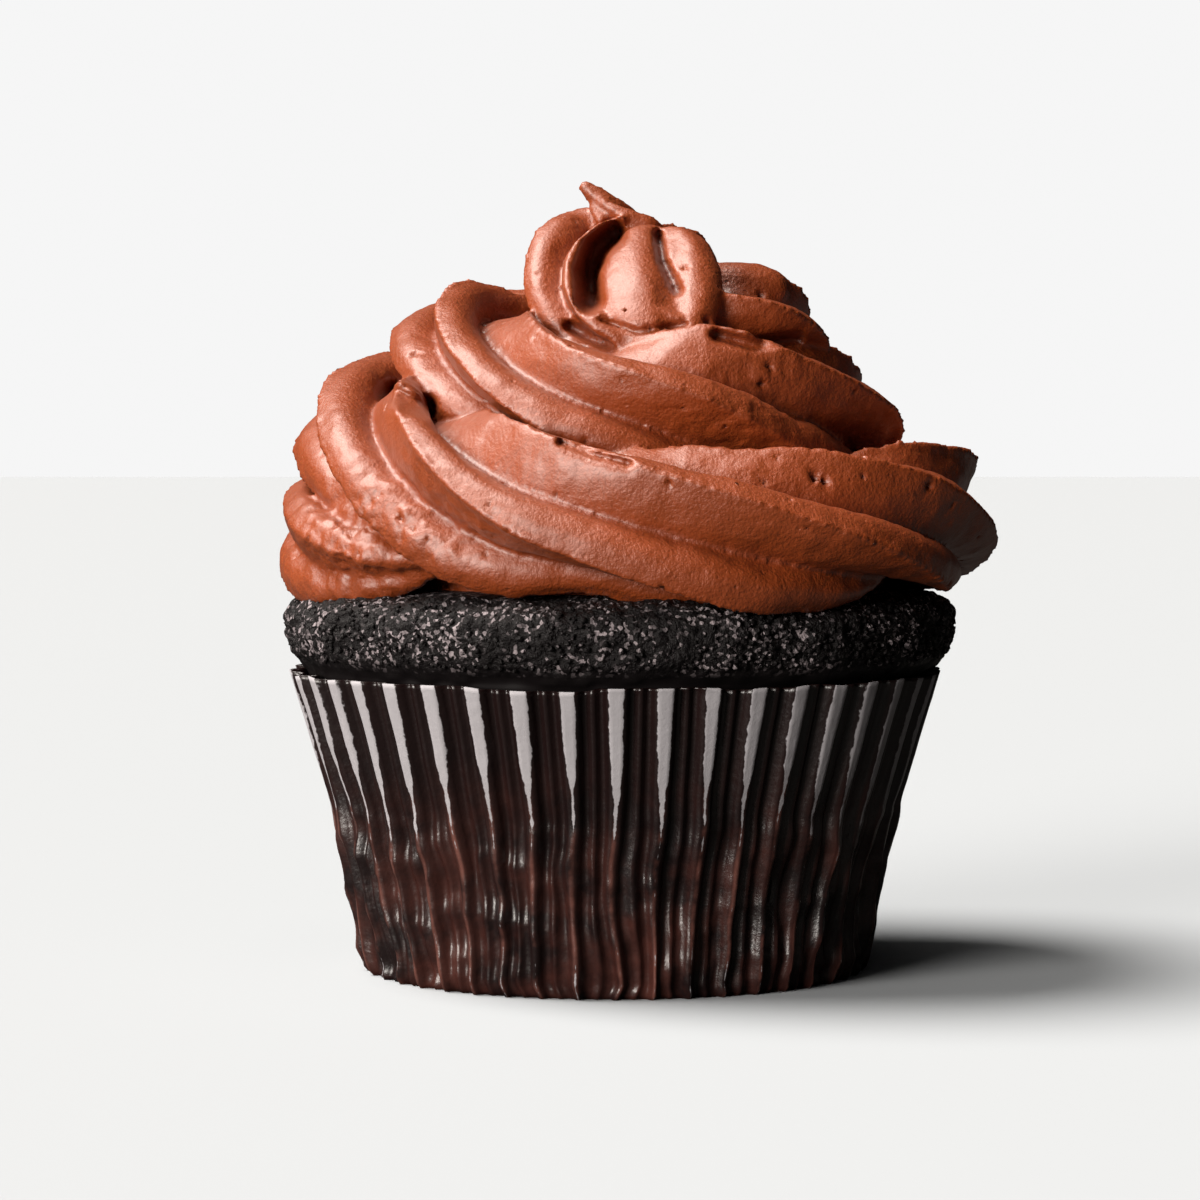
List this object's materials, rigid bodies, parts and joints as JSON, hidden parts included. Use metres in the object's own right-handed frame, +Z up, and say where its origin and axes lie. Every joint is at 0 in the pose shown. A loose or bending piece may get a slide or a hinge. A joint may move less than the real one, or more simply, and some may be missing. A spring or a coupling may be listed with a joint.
{
  "type": "cupcake",
  "caption": "Chocolate cupcake in a soaked, pleated paper case, with a star-piped swirl of chocolate frosting drawn up to a tip.",
  "frame": {"origin": "centre of the paper case's flat base", "axes": "+Z up along the cupcake's height, -Y towards the side seen from the front, +X to the right of that view"},
  "size_m": [0.0714, 0.0713, 0.0785],
  "materials": {
    "frosting": "satin",
    "cake": "matte",
    "paper_case": "satin"
  },
  "bodies": {
    "root": {"frosting": "frosting", "cake": "cake", "paper_case": "paper_case"}
  },
  "joints": []
}
